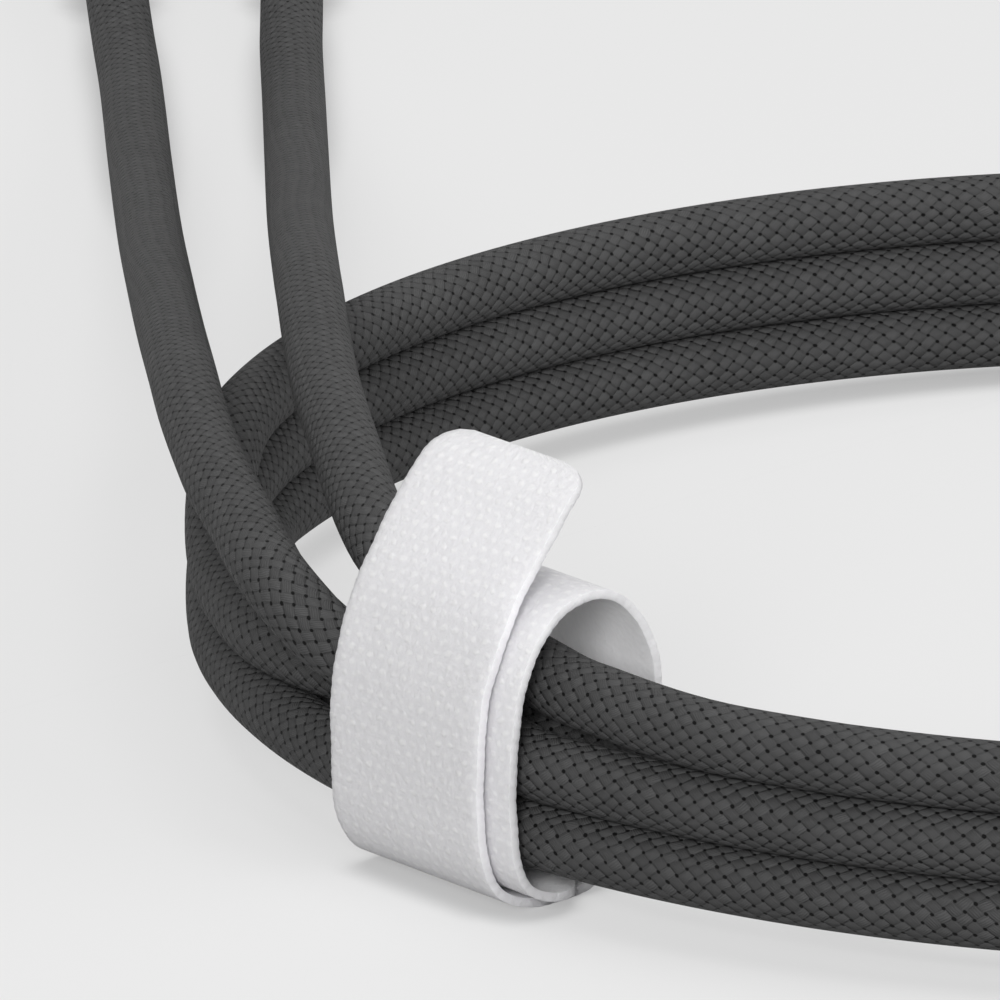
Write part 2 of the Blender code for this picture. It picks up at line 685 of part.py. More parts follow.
def make_plug(name, stuff):
    prefix = "plug_" + name + "_"
    parent = bpy.data.objects.new(prefix + "place", None)
    PARTS.objects.link(parent)
    parent.matrix_world = plug_matrix(name)
    make_housing(prefix, parent, stuff["shell plastic"])
    lathe(prefix + "strain_relief", relief_profile(), 32, stuff["relief rubber"], parent)
    bore = TUBE_RADIUS - JACKET_WALL
    stub = ring_profile(0.2 * MM, JACKET_FRONT, bore, TUBE_RADIUS)
    lathe(prefix + "jacket_end", stub, 24, stuff["jacket"], parent)
    ferrule_rear = HOUSING_REAR + HOUSING_WALL + FACE_GAP
    ferrule_front = JACKET_FRONT + 0.1 * MM
    ferrule = ring_profile(ferrule_rear, ferrule_front, TUBE_RADIUS + PLUG_GAP, NEST_DIAMETER / 2 - PLUG_GAP)
    lathe(prefix + "crimp_ferrule", ferrule, 24, stuff["tin"], parent)
    outer = stadium(SHELL_WIDTH, SHELL_HEIGHT)
    inner = stadium(SHELL_WIDTH - 2 * SHELL_WALL, SHELL_HEIGHT - 2 * SHELL_WALL)
    bar_along(prefix + "shell", [outer, inner], SHELL_REAR, SHELL_FRONT, stuff["steel"], parent)
    tongue_out = stadium(7.42 * MM, 1.58 * MM, 6)
    tongue_in = stadium(6.9 * MM, 1.2 * MM, 6)
    start = SHELL_REAR + 0.3 * MM
    end = SHELL_FRONT - 3.2 * MM
    bar_along(prefix + "insulator", [tongue_out, tongue_in], start, end, stuff["black plastic"], parent)
    row = comb_outline()
    low = 0.32 * MM
    high = low + CONTACT_THICKNESS
    plate(prefix + "contacts_upper", row, low, high, stuff["gold"], parent)
    plate(prefix + "contacts_lower", row, -high, -low, stuff["gold"], parent)
    plate(prefix + "latch", latch_outline(), -0.1 * MM, 0.1 * MM, stuff["steel"], parent)
    spring = box_outline(SHELL_FRONT - 2.9 * MM, SHELL_FRONT - 1.3 * MM, -2.8 * MM, 2.8 * MM)
    plate(prefix + "spring_upper", spring, 0.62 * MM, 0.78 * MM, stuff["steel"], parent)
    plate(prefix + "spring_lower", spring, -0.78 * MM, -0.62 * MM, stuff["steel"], parent)
    board = box_outline(BOARD_REAR, BOARD_FRONT, -BOARD_SIDE, BOARD_SIDE)
    plate(prefix + "circuit_board", board, -BOARD_TOP, BOARD_TOP, stuff["board green"], parent)
    middle = (BOARD_REAR + BOARD_FRONT) / 2 + 0.3 * MM
    seat = BOARD_TOP + PLUG_GAP
    chip = box_outline(middle - 1.5 * MM, middle + 1.5 * MM, -1.2 * MM, 1.2 * MM)
    plate(prefix + "chip", chip, seat, seat + 0.7 * MM, stuff["black plastic"], parent)
    resistor = box_outline(BOARD_FRONT - 2.4 * MM, BOARD_FRONT - 1.8 * MM, 1.5 * MM, 2.6 * MM)
    plate(prefix + "resistor", resistor, seat, seat + 0.35 * MM, stuff["black plastic"], parent)
    for side, word in ((1, "upper"), (-1, "lower")):
        outline = can_outline(side)
        start = BOARD_REAR + 0.4 * MM
        end = BOARD_FRONT - PLUG_GAP
        bar_along(prefix + "shield_" + word, [outline], start, end, stuff["tin"], parent)
    wires = (
        ("wire_power", 18, 1, 2.2, POWER_WIRE_DIAMETER, "red"),
        ("wire_data_plus", 90, 1, 0.0, DATA_WIRE_DIAMETER, "green"),
        ("wire_ground", 162, 1, -2.2, POWER_WIRE_DIAMETER, "black plastic"),
        ("wire_control", 234, -1, -1.3, DATA_WIRE_DIAMETER, "blue"),
        ("wire_data_minus", 306, -1, 1.3, DATA_WIRE_DIAMETER, "white"),
    )
    for word, turn, side, pad, diameter, color in wires:
        points = wire_points(math.radians(turn), side, pad * MM)
        tube(prefix + word, points, diameter, 2, stuff[color], parent)


def make_materials():
    return {
        "braid": make_material("braid", (0.075, 0.075, 0.08), 0.6),
        "strap": make_material("strap", (0.72, 0.72, 0.73), 0.85),
        "shell plastic": make_material("shell_plastic", (0.03, 0.03, 0.032), 0.4),
        "relief rubber": make_material("relief_rubber", (0.035, 0.035, 0.037), 0.55),
        "jacket": make_material("jacket", (0.05, 0.05, 0.05), 0.55),
        "steel": make_material("steel", (0.62, 0.62, 0.63), 0.25, 1.0),
        "tin": make_material("tin", (0.55, 0.55, 0.56), 0.4, 1.0),
        "gold": make_material("gold", (0.83, 0.62, 0.25), 0.25, 1.0),
        "black plastic": make_material("black_plastic", (0.02, 0.02, 0.02), 0.45),
        "board green": make_material("board_green", (0.03, 0.14, 0.06), 0.5),
        "red": make_material("wire_red", (0.5, 0.02, 0.02), 0.45),
        "green": make_material("wire_green", (0.03, 0.3, 0.06), 0.45),
        "blue": make_material("wire_blue", (0.03, 0.08, 0.4), 0.45),
        "white": make_material("wire_white", (0.7, 0.7, 0.7), 0.45),
    }


def main():
    stuff = make_materials()
    coil = coil_points()
    start_a = joint_end(coil, False)
    start_b = joint_end(coil, True)
    end_a = free_points(start_a, END_A_ROUTE, "a")
    end_b = free_points(start_b, END_B_ROUTE, "b")
    tube("cable_coil", coil, TUBE_DIAMETER, 1, stuff["braid"])
    tube("cable_end_a", end_a, TUBE_DIAMETER, 2, stuff["braid"])
    tube("cable_end_b", end_b, TUBE_DIAMETER, 2, stuff["braid"])
    make_strap(stuff["strap"])
    make_plug("a", stuff)
    make_plug("b", stuff)
    print("coil least gap mm", round(least_gap(coil, TUBE_DIAMETER) / MM, 3))
    lengths = [length_of(line) for line in (coil, end_a, end_b)]
    print("lengths mm", [round(length / MM, 1) for length in lengths], round(sum(lengths) / MM, 1))


for old in list(bpy.data.objects):
    bpy.data.objects.remove(old)
PARTS = make_collection("charging_cable")
CUTTERS = make_collection("cutters")
main()
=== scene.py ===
"""Looks of the charging cable: braided cable, strap, two plugs and a small studio."""

import math

import bmesh
import bpy
import numpy as np
from bpy.props import FloatProperty, FloatVectorProperty, IntProperty, PointerProperty
from mathutils import Matrix, Vector


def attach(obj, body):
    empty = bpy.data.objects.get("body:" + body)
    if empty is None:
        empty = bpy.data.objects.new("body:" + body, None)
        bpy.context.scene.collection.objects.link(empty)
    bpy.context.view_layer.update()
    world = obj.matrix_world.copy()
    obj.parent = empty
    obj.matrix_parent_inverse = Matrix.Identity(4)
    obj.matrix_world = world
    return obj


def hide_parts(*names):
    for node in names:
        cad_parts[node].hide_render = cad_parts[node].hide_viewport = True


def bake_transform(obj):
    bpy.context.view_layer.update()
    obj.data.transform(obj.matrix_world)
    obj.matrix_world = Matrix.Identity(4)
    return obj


bl_info = {
    "name": "Charging Cable",
    "version": (1, 0, 0),
    "blender": (4, 5, 0),
    "location": "View3D > Sidebar > Charging Cable",
    "description": "Builds a braided charging cable with its strap and plugs",
    "category": "Object",
}

MM = 0.001
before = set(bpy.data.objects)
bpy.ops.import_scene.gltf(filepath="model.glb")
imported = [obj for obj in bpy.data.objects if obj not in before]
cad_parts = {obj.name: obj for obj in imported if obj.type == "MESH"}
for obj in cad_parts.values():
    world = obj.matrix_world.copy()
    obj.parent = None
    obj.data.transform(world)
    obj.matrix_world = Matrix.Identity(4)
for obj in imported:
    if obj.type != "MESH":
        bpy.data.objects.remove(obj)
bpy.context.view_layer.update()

# The cable's route, as in the part: millimetres from the ring's centre.
RING_CENTER = Vector((6.808, -55.848, 0)) * MM
STRAP_ANGLE = math.radians(219.5)
STRAP_LIFT = 2.45
PITCH = 3.8
# The part's solids are thinner than the cable, so that stacked turns stay clear of each other.
CORE_RADIUS = 1.65
INNER_COLUMN = 1.04
FOLD_RADIUS = 12.2
FOLD_ANGLE = 283
FOLD_TURNS = 19
JOIN_ANGLE = 226
RING_STEP = 2.5
SINK_FROM, SINK_TO = 162, 187
FOLD_JOINS = 230
FOLD_CLIMB = (238, 258)
TOP_TURN = (227.5, -117)
TOP_INWARDS = (196, 216)
LAST_TURN = (240, 224)
LAST_SHIFT = 0.42
LAST_LEVEL = 2.01
SINK_CLEARANCE = 0.05
FLOOR_GAP = 0.02
LINE_STEP = 1.2
SPAN_PARTS = 12
TUBE_SIDES = 28
END_A_ROUTE = (
    (-43.78, -34.99, 9.1),
    (-47.11, -31.29, 10.0),
    (-50.18, -28.94, 11.4),
    (-51.96, -26.64, 12.6),
    (-53.54, -22.7, 13.5),
    (-54.91, -16.34, 14.1),
    (-55.99, -11.74, 14.5),
    (-56.87, -5.89, 14.7),
    (-57.65, 0.0, 15.0),
    (-58.33, 8.0, 14.8),
    (-59.11, 20.3, 13.4),
    (-59.98, 38.9, 10.5),
    (-60.95, 62.5, 6.6),
    (-61.95, 89.8, 3.0),
    (-62.68, 108.2, 1.7),
)
END_B_ROUTE = (
    (-41.69, -33.38, 12.7),
    (-43.97, -29.42, 13.5),
    (-46.45, -24.96, 14.3),
    (-47.92, -19.47, 15.2),
    (-49.18, -10.0, 15.9),
    (-50.34, 1.2, 16.1),
    (-50.95, 11.2, 15.9),
    (-51.34, 20.0, 15.6),
    (-51.56, 26.1, 14.9),
    (-51.92, 39.9, 12.7),
    (-52.26, 58.8, 9.0),
    (-52.7, 88.7, 4.1),
    (-52.97, 106.0, 1.9),
)
PLUG_PLACES = {"a": ((-64.2, 131.5), 94), "b": ((-53.2, 131.5), 90)}
PLUG_HEIGHT = 2.9
# Behind a plug the cable comes down to the floor: how far back, and the share of the way down.
PLUG_LEAD = ((14.0, 1.0), (9.0, 0.55), (5.5, 0.12), (3.7, 0.0), (0.0, 0.0))
ROLL = math.radians(-0.557)

# The strap's line round the bundle: millimetres outwards from the ring's mean radius and up.
STRAP_ROUTE = (
    (-3.0, 1.0),
    (-1.8, 1.0),
    (-0.7, 1.04),
    (0.35, 1.3),
    (1.27, 1.85),
    (1.95, 2.85),
    (2.28, 4.15),
    (2.4, 5.9),
    (2.42, 7.9),
    (2.32, 9.9),
    (2.0, 11.8),
    (1.4, 13.8),
    (0.3, 15.6),
    (-1.4, 16.8),
    (-3.3, 17.2),
    (-5.0, 16.8),
    (-6.7, 15.4),
    (-7.9, 13.4),
    (-8.5, 11.1),
    (-8.5, 8.6),
    (-8.0, 6.0),
    (-7.1, 3.6),
    (-5.8, 1.6),
    (-4.4, 0.56),
    (-3.0, 0.27),
    (-1.8, 0.26),
    (-0.6, 0.3),
    (0.7, 0.62),
    (1.83, 1.3),
    (2.61, 2.46),
    (3.04, 3.96),
    (3.17, 5.9),
    (3.19, 7.9),
    (3.1, 9.9),
    (2.8, 11.9),
    (2.2, 13.8),
    (0.95, 16.4),
    (-0.65, 18.8),
    (-2.0, 20.5),
    (-3.4, 22.1),
    (-5.0, 23.2),
)
STITCH_ROW = 0.66 * MM
STITCH_COLUMN = 0.84 * MM
STRAP_SEAM_POINT = 25
STRAP_HINGE_POINT = 35
STRAP_STEP = 0.22
STRAP_COLUMNS = 48
STRAP_SIDE_SHIFT = 1.7
STRAP_DRIFT = 1.8
STRAP_DRIFT_FROM, STRAP_DRIFT_TO = 0.2, 0.62
EDGE_SCALLOP = 0.05
EDGE_WAVES = ((0.04, 1.1, 0), (0.02, 2.3, 1))

# Finishes: how deep each surface's relief is, and how the cloth and the braid are divided.
BRAID_DEPTH = 0.22 * MM
BRAID_TWIST = 0.35
BRAID_WANDER = ((0.02, 130, 0), (0.015, 57, 1))
YARNS_IN_STRAND = 6.0
PINHOLE = (0.36, 0.50)
CLOTH_DEPTH = 0.09 * MM
STITCH_SIZE = (0.06, 0.26)
STITCH_COLOR = (0.99, 0.985, 0.995, 1)
DRAWN_LINES = 2600.0
METAL_DEPTH = 0.01 * MM

# The plugs, in millimetres along and across their own axis.
PLUG_GAP = 0.3
HOUSING_ROUND = 2.2
HOUSING_EDGE = 0.45
HALL_REAR = 4.2
HALL_WALL = 1.1
MOUTH_WIDTH = 8.49
MOUTH_HEIGHT = 2.64
MOUTH_ROUND = 1.31
REAR_BORES = ((-1, 2, 1.95), (1, 4.6, 2.25))
RELIEF_REAR_RADIUS = 2.5
RELIEF_FLARE = 0.3
RELIEF_BORE = 1.77
RELIEF_MOUTH = 1.92
RELIEF_ROUND = 0.4
GROOVE_PLACES = (2.2, 4.3, 6.4)
GROOVE_LENGTH = 0.95
GROOVE_SIDE = ((0, 0), (0.05, 0.1), (0.12, 0.38), (0.2, 0.45))
SHELL_EXPOSED = 6.65
SHELL_LENGTH = 10.2
SHELL_WIDTH = 8.25
SHELL_HEIGHT = 2.4
SHELL_ROUND = 1.19
SHELL_WALL = 0.28
SHELL_EDGE = 0.08
SHARP = math.radians(60)

# The studio: the share of the floor's look that lamps, shadows and a painted contact shadow give,
# and the lamps.
FLOOR_PAINTED_SHADOW_REACH = 2.5 * MM
FLOOR_GLOW = 0.47
FLOOR_PAINTED_SHADOW_DEPTH = 0.26
FLOOR_LIT = 0.24
FLOOR_BOUNCE = 0.4
SKY_STRENGTH = 0.26
LAMPS = (
    ("top_softbox", (-0.05, 0.0, 0.8), 0.6, 2.4),
    ("front_softbox", (-0.35, -1.9, 0.84), 0.6, 29.0),
    ("side_softbox", (0.5, -0.3, 0.22), 0.5, 1.7),
)
LAMP_AIM = Vector((-0.03, -0.05, 0))
CAMERA_AIM = Vector((-40.883, 28.745, 1.107))
SENSOR = 36
ZOOM = 21.27


# Settings a user would change


class CableSettings(bpy.types.PropertyGroup):
    diameter: FloatProperty(
        name="Diameter",
        description="Outside diameter of the braided cable",
        default=3.8 * MM,
        unit="LENGTH",
    )
    ring_radius: FloatProperty(
        name="Ring radius",
        description="From the ring's centre to the middle of the cable",
        default=56.3 * MM,
        unit="LENGTH",
    )
    strands: IntProperty(
        name="Strands",
        description="Flat strands that wind round the cable in each direction",
        default=14,
    )
    braid_lead: FloatProperty(
        name="Braid lead",
        description="Length of cable in which a strand goes round once",
        default=15.5 * MM,
        unit="LENGTH",
    )
    color: FloatVectorProperty(
        name="Braid colour",
        description="Colour of the braid's yarn",
        subtype="COLOR",
        default=(0.074, 0.074, 0.0745),
    )


class StrapSettings(bpy.types.PropertyGroup):
    width: FloatProperty(
        name="Width",
        description="Width of the strap",
        default=12.2 * MM,
        unit="LENGTH",
    )
    thickness: FloatProperty(
        name="Thickness",
        description="Thickness of one layer",
        default=0.5 * MM,
        unit="LENGTH",
    )
    corner: FloatProperty(
        name="Corner radius",
        description="Radius of the tail's two corners",
        default=2.3 * MM,
        unit="LENGTH",
    )
    color: FloatVectorProperty(
        name="Fabric colour",
        description="Colour of the strap's outer side",
        subtype="COLOR",
        default=(0.83, 0.82, 0.85),
    )


class PlugSettings(bpy.types.PropertyGroup):
    length: FloatProperty(
        name="Housing length",
        description="Length of the plug's housing",
        default=20.0 * MM,
        unit="LENGTH",
    )
    width: FloatProperty(
        name="Housing width",
        description="Width of the plug's housing",
        default=10.4 * MM,
        unit="LENGTH",
    )
    height: FloatProperty(
        name="Housing height",
        description="Height of the plug's housing",
        default=5.8 * MM,
        unit="LENGTH",
    )
    relief_length: FloatProperty(
        name="Strain relief length",
        description="Length of the flexible sleeve behind the housing",
        default=11.0 * MM,
        unit="LENGTH",
    )
    color: FloatVectorProperty(
        name="Housing colour",
        description="Colour of the moulded housing",
        subtype="COLOR",
        default=(0.028, 0.028, 0.03),
    )


class StageSettings(bpy.types.PropertyGroup):
    floor_tone: FloatProperty(
        name="Floor tone",
        description="How light the floor and the background look",
        default=0.805,
    )
    camera_distance: FloatProperty(
        name="Camera distance",
        description="From the camera to the point it looks at",
        default=1.197,
        unit="LENGTH",
    )
    camera_elevation: FloatProperty(
        name="Camera elevation",
        description="How far the camera looks down",
        default=math.radians(17.462),
        subtype="ANGLE",
    )


# Route of the cable


def ease(value, start, end):
    t = min(max((value - start) / (end - start), 0.0), 1.0)
    return t * t * (3 - 2 * t)


def on_ring(degrees, inwards, height):
    """A point on the cable's line, in millimetres from the ring's centre."""
    angle = math.radians(degrees)
    radius = bpy.context.scene.charging_cable.ring_radius / MM - inwards
    lift = STRAP_LIFT * (1 + math.cos(angle - STRAP_ANGLE)) / 2
    height += CORE_RADIUS + FLOOR_GAP + lift
    return (radius * math.cos(angle), radius * math.sin(angle), height)


def sink(degrees):
    """Each turn sinks by one level at the ring's left side, as an angle of a quarter circle."""
    return math.pi / 2 * ease(degrees % 360, SINK_FROM, SINK_TO)


def ring_points():
    """Three turns and the fold inside the ring, from the first free end to the second."""
    points = []
    for degrees in np.arange(JOIN_ANGLE, JOIN_ANGLE + 360, RING_STEP):
        sunk = 0 if degrees < 360 else sink(degrees)
        points.append(on_ring(degrees, 0, PITCH * math.cos(sunk)))
    for degrees in np.arange(JOIN_ANGLE + 1, JOIN_ANGLE + 360, RING_STEP):
        sunk = 0 if degrees < 360 else sink(degrees)
        points.append(on_ring(degrees, INNER_COLUMN * PITCH * math.sin(sunk), 0))
    for degrees in np.arange(JOIN_ANGLE + 1, FOLD_ANGLE, RING_STEP):
        points.append(on_ring(degrees, INNER_COLUMN * PITCH, 0))
    across = math.radians(FOLD_ANGLE + 90)
    for turn in np.linspace(math.pi, 0, FOLD_TURNS):
        inwards = INNER_COLUMN * PITCH + FOLD_RADIUS * (1 + math.cos(turn))
        x, y, z = on_ring(FOLD_ANGLE, inwards, 0)
        ahead = FOLD_RADIUS * math.sin(turn)
        points.append((x + ahead * math.cos(across), y + ahead * math.sin(across), z))
    for degrees in np.linspace(FOLD_ANGLE, FOLD_JOINS, 23)[1:]:
        inwards = INNER_COLUMN * PITCH + 2 * FOLD_RADIUS * ease(degrees, FOLD_JOINS, FOLD_ANGLE)
        points.append(on_ring(degrees, inwards, PITCH * (1 - ease(degrees, *FOLD_CLIMB))))
    for degrees in np.arange(*TOP_TURN, -RING_STEP):
        inwards = INNER_COLUMN * ease(degrees, *TOP_INWARDS)
        sunk = sink(degrees) if degrees > 0 else 0
        rise = math.cos(sunk) + SINK_CLEARANCE * math.sin(2 * sunk)
        points.append(on_ring(degrees, PITCH * inwards, PITCH * (1 + rise)))
    for degrees in np.arange(LAST_TURN[0], JOIN_ANGLE, -RING_STEP):
        inwards = LAST_SHIFT * ease(degrees, *LAST_TURN)
        level = LAST_LEVEL + 0.2 * inwards
        points.append(on_ring(degrees, PITCH * inwards, PITCH * level))
    return points


def plug_matrix(name):
    """A plug's frame: X runs from the cable's end to the plug's mouth."""
    (across, along), heading = PLUG_PLACES[name]
    place = RING_CENTER + Vector((across, along, PLUG_HEIGHT)) * MM
    return Matrix.Translation(place) @ Matrix.Rotation(math.radians(heading), 4, "Z")


def plug_lead(name):
    """The cable's last centimetre before a plug, in millimetres from the ring's centre."""
    (across, along), heading = PLUG_PLACES[name]
    turn = math.radians(heading)
    points = []
    for back, drop in PLUG_LEAD:
        low = PLUG_HEIGHT - drop * (PLUG_HEIGHT - CORE_RADIUS)
        points.append((across - back * math.cos(turn), along - back * math.sin(turn), low))
    return points


def run_along(line):
    """How far each point of a line is from its start, along the line."""
    return np.concatenate([[0], np.cumsum(np.linalg.norm(np.diff(line, axis=0), axis=1))])


def even_line(points, step):
    """Evenly spaced points on a smooth curve through the given ones."""
    knots = [np.array(p, float) for p in points]
    knots = [2 * knots[0] - knots[1]] + knots + [2 * knots[-1] - knots[-2]]
    fine = []
    for before, start, end, after in zip(knots, knots[1:], knots[2:], knots[3:]):
        span = np.linalg.norm(end - start)
        leave = (end - before) * span / (span + np.linalg.norm(start - before))
        arrive = (after - start) * span / (span + np.linalg.norm(after - end))
        for t in np.linspace(0, 1, SPAN_PARTS, endpoint=False):
            fine.append(
                (2 * t**3 - 3 * t**2 + 1) * start
                + (t**3 - 2 * t**2 + t) * leave
                + (3 * t**2 - 2 * t**3) * end
                + (t**3 - t**2) * arrive
            )
    fine = np.array(fine + [knots[-2]])
    along = run_along(fine)
    wanted = np.linspace(0, along[-1], max(2, round(along[-1] / step)) + 1)
    return np.stack([np.interp(wanted, along, fine[:, k]) for k in range(fine.shape[1])], axis=1)


def cable_line(step):
    """The whole cable from plug to plug, in metres, lying on the floor and on itself."""
    knots = plug_lead("a")[::-1] + list(END_A_ROUTE)[::-1]
    knots += ring_points() + list(END_B_ROUTE) + plug_lead("b")
    line = even_line(knots, step)
    radius = bpy.context.scene.charging_cable.diameter / MM / 2
    height = line[:, 2] + radius - CORE_RADIUS
    count = np.arange(len(line))
    near_plug = np.minimum(1, np.minimum(count, count[::-1]) * step / PLUG_LEAD[0][0])
    line[:, 2] = np.where(near_plug < 1, line[:, 2] + (height - line[:, 2]) * near_plug, height)
    line[:, 2] = np.maximum(line[:, 2], radius + FLOOR_GAP)
    return line * MM + np.array(RING_CENTER)


# Small helpers for making pieces


def deselect():
    if bpy.context.object and bpy.context.object.mode != "OBJECT":
        bpy.ops.object.mode_set(mode="OBJECT")
    bpy.ops.object.select_all(action="DESELECT")


def pick(piece):
    deselect()
    piece.select_set(True)
    bpy.context.view_layer.objects.active = piece


def clear_selection(piece, kind):
    """Open a piece for editing by edge or face, with nothing selected yet."""
    pick(piece)
    bpy.ops.object.mode_set(mode="EDIT")
    bpy.ops.mesh.select_mode(type=kind)
    bpy.ops.mesh.select_all(action="DESELECT")


def name_new(name):
    piece = bpy.context.object
    piece.name = name
    piece.data.name = name
    return piece


def apply_modifier(piece, kind, **values):
    modifier = piece.modifiers.new(kind.lower(), kind)
    for key, value in values.items():
        setattr(modifier, key, value)
    pick(piece)
    bpy.ops.object.modifier_apply(modifier=modifier.name)


def settle(piece, matrix):
    """Put the place into the mesh, so that the object itself sits at the origin."""
    piece.matrix_world = matrix @ piece.matrix_world
    pick(piece)
    bpy.ops.object.transform_apply(location=True, rotation=True, scale=True)


def tidy_mesh(piece):
    pick(piece)
    bpy.ops.object.mode_set(mode="EDIT")
    bpy.ops.mesh.select_all(action="SELECT")
    bpy.ops.mesh.remove_doubles(threshold=0.000001)
    bpy.ops.mesh.normals_make_consistent(inside=False)
    bpy.ops.object.mode_set(mode="OBJECT")


def smooth_shade(piece, degrees=35):
    pick(piece)
    bpy.ops.object.shade_smooth_by_angle(angle=math.radians(degrees))


def dress(piece, material):
    piece.data.materials.clear()
    piece.data.materials.append(material)


# Materials


class Finish:
    """A material and short ways to add nodes to it."""

    def __init__(self, name):
        self.material = bpy.data.materials.new(name)
        self.material.use_nodes = True
        self.tree = self.material.node_tree
        self.shader = self.tree.nodes["Principled BSDF"]

    def put(self, socket, value):
        if isinstance(value, bpy.types.NodeSocket):
            self.tree.links.new(value, socket)
        else:
            socket.default_value = value

    def node(self, kind, **values):
        node = self.tree.nodes.new(kind)
        for key, value in values.items():
            setattr(node, key, value)
        return node

    def math(self, operation, first, second=0.0, third=0.0):
        node = self.node("ShaderNodeMath", operation=operation)
        self.put(node.inputs[0], first)
        self.put(node.inputs[1], second)
        self.put(node.inputs[2], third)
        return node.outputs[0]

    def mix(self, share, first, second):
        return self.math("MULTIPLY_ADD", share, self.math("SUBTRACT", second, first), first)

    def step(self, value, low, high):
        node = self.node("ShaderNodeMapRange", interpolation_type="SMOOTHSTEP")
        self.put(node.inputs["Value"], value)
        node.inputs["From Min"].default_value = low
        node.inputs["From Max"].default_value = high
        return node.outputs["Result"]

    def colors(self, share, first, second):
        node = self.node("ShaderNodeMix", data_type="RGBA")
        self.put(node.inputs[0], share)
        self.put(node.inputs[6], first)
        self.put(node.inputs[7], second)
        return node.outputs[2]

    def noise(self, vector, scale, detail=2.0, rough=0.5):
        node = self.node("ShaderNodeTexNoise")
        self.put(node.inputs["Vector"], vector)
        node.inputs["Scale"].default_value = scale
        node.inputs["Detail"].default_value = detail
        node.inputs["Roughness"].default_value = rough
        return node.outputs["Fac"]

    def place(self):
        return self.node("ShaderNodeTexCoord").outputs["Object"]

    def bump(self, height, strength, distance):
        node = self.node("ShaderNodeBump")
        self.put(node.inputs["Height"], height)
        node.inputs["Strength"].default_value = strength
        node.inputs["Distance"].default_value = distance
        self.tree.links.new(node.outputs["Normal"], self.shader.inputs["Normal"])

    def look(self, **values):
        for key, value in values.items():
            self.put(self.shader.inputs[key.replace("_", " ").title()], value)


def shade(color, factor):
    return (*[channel * factor for channel in color], 1.0)


def braid_finish():
    """Two families of flat strands that cross over and under, with pinholes at the corners."""
    settings = bpy.context.scene.charging_cable
    m = Finish("braid")
    parts = m.node("ShaderNodeSeparateXYZ")
    m.put(parts.inputs[0], m.node("ShaderNodeUVMap", uv_map="braid").outputs[0])
    place = m.place()
    around = m.math("MULTIPLY", parts.outputs["X"], float(settings.strands))
    along = m.math("MULTIPLY", parts.outputs["Y"], settings.strands / settings.braid_lead)
    uneven = m.math("MULTIPLY_ADD", m.noise(place, 420.0, 1.0), 0.5, -0.25)
    around = m.math("ADD", around, m.math("MULTIPLY", uneven, 0.6))
    first = m.math("ADD", m.math("ADD", around, along), uneven)
    second = m.math("SUBTRACT", around, along)
    in_first = m.math("FRACT", first)
    in_second = m.math("FRACT", second)
    cell_first = m.math("FLOOR", first)
    cell_second = m.math("FLOOR", second)
    cells = m.math("ADD", cell_first, cell_second)
    crossing = m.math("GREATER_THAN", m.math("FRACT", m.math("MULTIPLY", cells, 0.5)), 0.25)
    lot = m.node("ShaderNodeCombineXYZ")
    m.put(lot.inputs["X"], cell_first)
    m.put(lot.inputs["Y"], cell_second)
    chance = m.node("ShaderNodeTexWhiteNoise")
    m.put(chance.inputs["Vector"], lot.outputs[0])
    side_first = m.math("ABSOLUTE", m.math("MULTIPLY_ADD", in_first, 2.0, -1.0))
    side_second = m.math("ABSOLUTE", m.math("MULTIPLY_ADD", in_second, 2.0, -1.0))
    across = m.mix(crossing, side_second, side_first)
    lengthwise = m.mix(crossing, side_first, side_second)
    edge = m.math("SUBTRACT", 1.0, m.math("POWER", across, 3.0))
    crown = m.math("SUBTRACT", 1.0, m.math("MULTIPLY", m.math("POWER", lengthwise, 2.0), 0.6))
    ribbon = m.math("MULTIPLY", edge, crown)
    ribbon = m.math("MULTIPLY", ribbon, m.math("MULTIPLY_ADD", chance.outputs[0], 0.3, 0.7))
    wander = m.noise(place, 1100.0, 2.0)
    yarns = m.math("MULTIPLY", m.mix(crossing, in_second, in_first), YARNS_IN_STRAND)
    yarns = m.math("ADD", yarns, m.math("MULTIPLY", wander, 2.2))
    ridge = m.math("SINE", m.math("MULTIPLY", yarns, 2 * math.pi))
    to_first = m.math("SUBTRACT", 1.0, side_first)
    to_second = m.math("SUBTRACT", 1.0, side_second)
    to_first = m.math("MULTIPLY", to_first, 0.85)
    to_corner = m.math("ADD", m.math("POWER", to_first, 2.0), m.math("POWER", to_second, 2.0))
    to_corner = m.math("MULTIPLY_ADD", m.noise(place, 900.0, 2.0), 0.3, m.math("SQRT", to_corner))
    hole = m.math("SUBTRACT", 1.0, m.step(to_corner, *PINHOLE))
    height = m.math("MULTIPLY_ADD", ridge, 0.06, ribbon)
    height = m.math("MULTIPLY", height, m.math("SUBTRACT", 1.0, hole))
    m.bump(height, 1.0, BRAID_DEPTH)
    color = settings.color
    worn = m.step(m.noise(place, 160.0, 3.0), 0.35, 0.65)
    yarn = m.colors(worn, shade(color, 0.86), shade(color, 1.06))
    # Painted sheen: the strands of one family are coloured lighter than the other, standing in for
    # the sheen along their direction.
    yarn = m.colors(m.math("MULTIPLY", crossing, 0.6), yarn, shade(color, 1.3))
    yarn = m.colors(m.math("MULTIPLY", chance.outputs[0], 0.3), yarn, shade(color, 0.72))
    fine = m.math("MULTIPLY", m.math("MULTIPLY_ADD", ridge, 0.5, 0.5), 0.46)
    yarn = m.colors(fine, yarn, shade(color, 0.55))
    # Painted shade: each strand is coloured darker towards its edges, as the shade in the creases
    # between neighbouring strands.
    crease_shade = m.math("MULTIPLY", m.math("POWER", across, 4.0), 0.1)
    yarn = m.colors(crease_shade, yarn, shade(color, 0.25))
    # Painted shade: the pinholes are coloured nearly black, as the shade inside them.
    m.look(base_color=m.colors(hole, yarn, shade(color, 0.02)), roughness=0.7)
    m.shader.inputs["Specular IOR Level"].default_value = 0.12
    m.shader.inputs["Sheen Weight"].default_value = 0.02
    m.shader.inputs["Sheen Roughness"].default_value = 0.5
    return m.material


